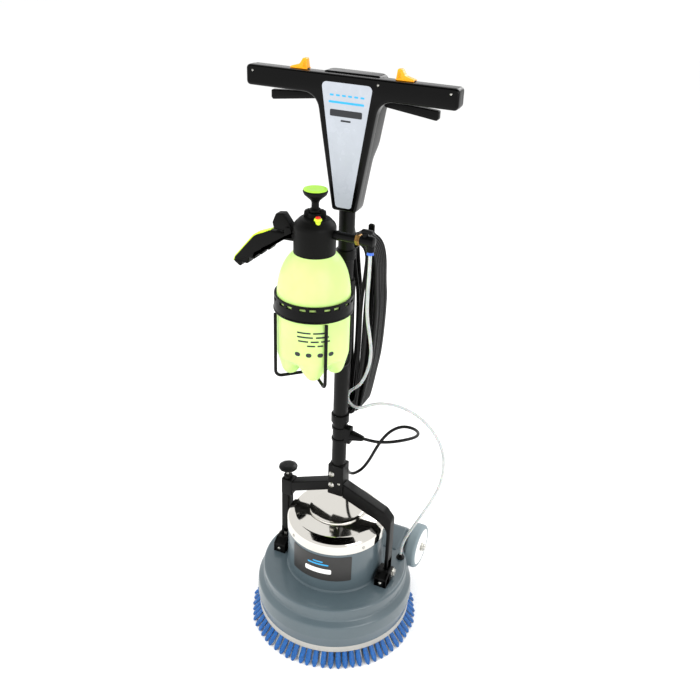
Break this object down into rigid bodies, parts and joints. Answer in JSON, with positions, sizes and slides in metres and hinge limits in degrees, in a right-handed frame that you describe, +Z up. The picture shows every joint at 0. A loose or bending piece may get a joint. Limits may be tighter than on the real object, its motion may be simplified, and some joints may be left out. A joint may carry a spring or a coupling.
{
  "type": "rotary floor machine",
  "caption": "Upright rotary floor scrubber: round brush under a deck with a motor drum, rear wheels, a yoke and pole that tilt back, T handle, cable hooks and a pump sprayer.",
  "frame": {"origin": "where the brush's axis meets the floor, at the ends of the bristles", "axes": "+Z up along the brush's axis and the upright pole, -Y the front, +X to the right in a view along +Y"},
  "size_m": [0.3869, 0.391, 1.1795],
  "materials": {
    "deck_paint": "satin",
    "bumper_vinyl": "matte",
    "drum_paint": "satin",
    "stainless": "polished",
    "badge": "satin",
    "zinc": "plain",
    "laminations": "plain",
    "cast_housing": "matte",
    "black_paint": "satin",
    "black_plastic": "satin",
    "cord_pvc": "satin",
    "hose_pe": "satin",
    "tyre_rubber": "matte",
    "hub_nylon": "satin",
    "brush_wood": "matte",
    "bristle": "matte",
    "plate": "satin",
    "yellow_plastic": "gloss",
    "green_plastic": "gloss",
    "bottle_pe": "satin",
    "brass": "plain",
    "blue_plastic": "gloss"
  },
  "bodies": {
    "base": {"deck_shell": "deck_paint", "bumper_ring": "bumper_vinyl", "motor_drum": "drum_paint", "motor_cover": "stainless", "drum_badge": "badge", "cover_screws": "zinc", "motor_mount": "zinc", "stator": "laminations", "gearbox": "cast_housing", "terminal_box": "deck_paint", "lead_gland": "black_plastic", "wheel_axle": "zinc", "axle_nuts": "zinc", "bracket_left": "black_paint", "bracket_right": "black_paint", "index_plate": "zinc", "bracket_fasteners": "zinc", "solution_inlet": "black_plastic"},
    "rotor": {"rotor_core": "laminations", "motor_shaft": "zinc"},
    "brush": {"drive_plate": "zinc", "brush_block": "brush_wood", "brush_tufts": "bristle"},
    "wheel_left": {"tyre_left": "tyre_rubber", "wheel_hub_left": "hub_nylon"},
    "wheel_right": {"tyre_right": "tyre_rubber", "wheel_hub_right": "hub_nylon"},
    "handle": {"yoke": "black_paint", "handle_fasteners": "zinc", "pole": "black_paint", "lead_connector": "black_plastic", "head_front_shell": "black_plastic", "head_rear_shell": "black_plastic", "head_plate": "plate", "hook_top": "black_paint", "hook_bottom": "black_paint", "holder_clamp": "black_paint", "bottle_holder": "black_paint", "bottle_body": "bottle_pe", "sprayer_collar": "black_plastic", "spray_handle": "black_plastic", "flow_valve": "black_plastic", "brass_nut": "brass", "hose_collet": "blue_plastic", "cord_gland": "black_plastic", "power_lead": "cord_pvc", "power_coil": "cord_pvc", "plug_lead": "cord_pvc", "power_plug": "black_plastic", "motor_lead": "cord_pvc", "solution_hose": "hose_pe"},
    "lock": {"lock_pin": "zinc", "lock_knob": "black_plastic"},
    "trigger_left": {"trigger_left": "black_plastic"},
    "trigger_right": {"trigger_right": "black_plastic"},
    "button_left": {"thumb_button_left": "yellow_plastic"},
    "button_right": {"thumb_button_right": "yellow_plastic"},
    "pump": {"pump_handle": "black_plastic"},
    "relief": {"relief_valve": "green_plastic"},
    "thumb": {"thumb_trigger": "black_plastic"}
  },
  "joints": [
    {"name": "brush_spin", "type": "hinge", "parent": "base", "child": "brush", "pos_m": [0, 0, 0.07], "axis": [0, 0, 1], "continuous": true},
    {"name": "rotor_spin", "type": "hinge", "parent": "base", "child": "rotor", "pos_m": [0, 0, 0.18], "axis": [0, 0, 1], "continuous": true},
    {"name": "wheel_left_spin", "type": "hinge", "parent": "base", "child": "wheel_left", "pos_m": [-0.131, 0.158, 0.105], "axis": [1, 0, 0], "continuous": true},
    {"name": "wheel_right_spin", "type": "hinge", "parent": "base", "child": "wheel_right", "pos_m": [0.131, 0.158, 0.105], "axis": [1, 0, 0], "continuous": true},
    {"name": "handle_tilt", "type": "hinge", "parent": "base", "child": "handle", "pos_m": [0, 0, 0.153], "axis": [-1, 0, 0], "range_deg": [0, 65], "deforming": ["solution_hose", "motor_lead"]},
    {"name": "lock_slide", "type": "slide", "parent": "handle", "child": "lock", "axis": [0, 0, 1], "range_m": [-0.0085, 0]},
    {"name": "trigger_left_squeeze", "type": "hinge", "parent": "handle", "child": "trigger_left", "pos_m": [-0.062, 0.008, 1.122], "axis": [0, 1, 0], "range_deg": [0, 4], "stiffness_Nm_per_rad": 1.5, "springref_deg": -5.73},
    {"name": "trigger_right_squeeze", "type": "hinge", "parent": "handle", "child": "trigger_right", "pos_m": [0.062, 0.008, 1.122], "axis": [0, -1, 0], "range_deg": [0, 4], "stiffness_Nm_per_rad": 1.5, "springref_deg": -5.73},
    {"name": "button_left_slide", "type": "slide", "parent": "handle", "child": "button_left", "axis": [1, 0, 0], "range_m": [0, 0.005], "stiffness_N_per_m": 300, "springref_m": -0.002},
    {"name": "button_right_slide", "type": "slide", "parent": "handle", "child": "button_right", "axis": [-1, 0, 0], "range_m": [0, 0.005], "stiffness_N_per_m": 300, "springref_m": -0.002},
    {"name": "pump_stroke", "type": "slide", "parent": "handle", "child": "pump", "axis": [0, 0, 1], "range_m": [0, 0.07]},
    {"name": "relief_pull", "type": "slide", "parent": "handle", "child": "relief", "axis": [0, 0, 1], "range_m": [0, 0.003], "stiffness_N_per_m": 400, "springref_m": -0.002},
    {"name": "thumb_press", "type": "hinge", "parent": "handle", "child": "thumb", "pos_m": [-0.06, -0.098, 0.918], "axis": [0, -1, 0], "range_deg": [0, 7], "stiffness_Nm_per_rad": 1.5, "springref_deg": -5.73}
  ],
  "couplings": [
    {"joint": "rotor_spin", "follows": "brush_spin", "ratio": 8}
  ]
}
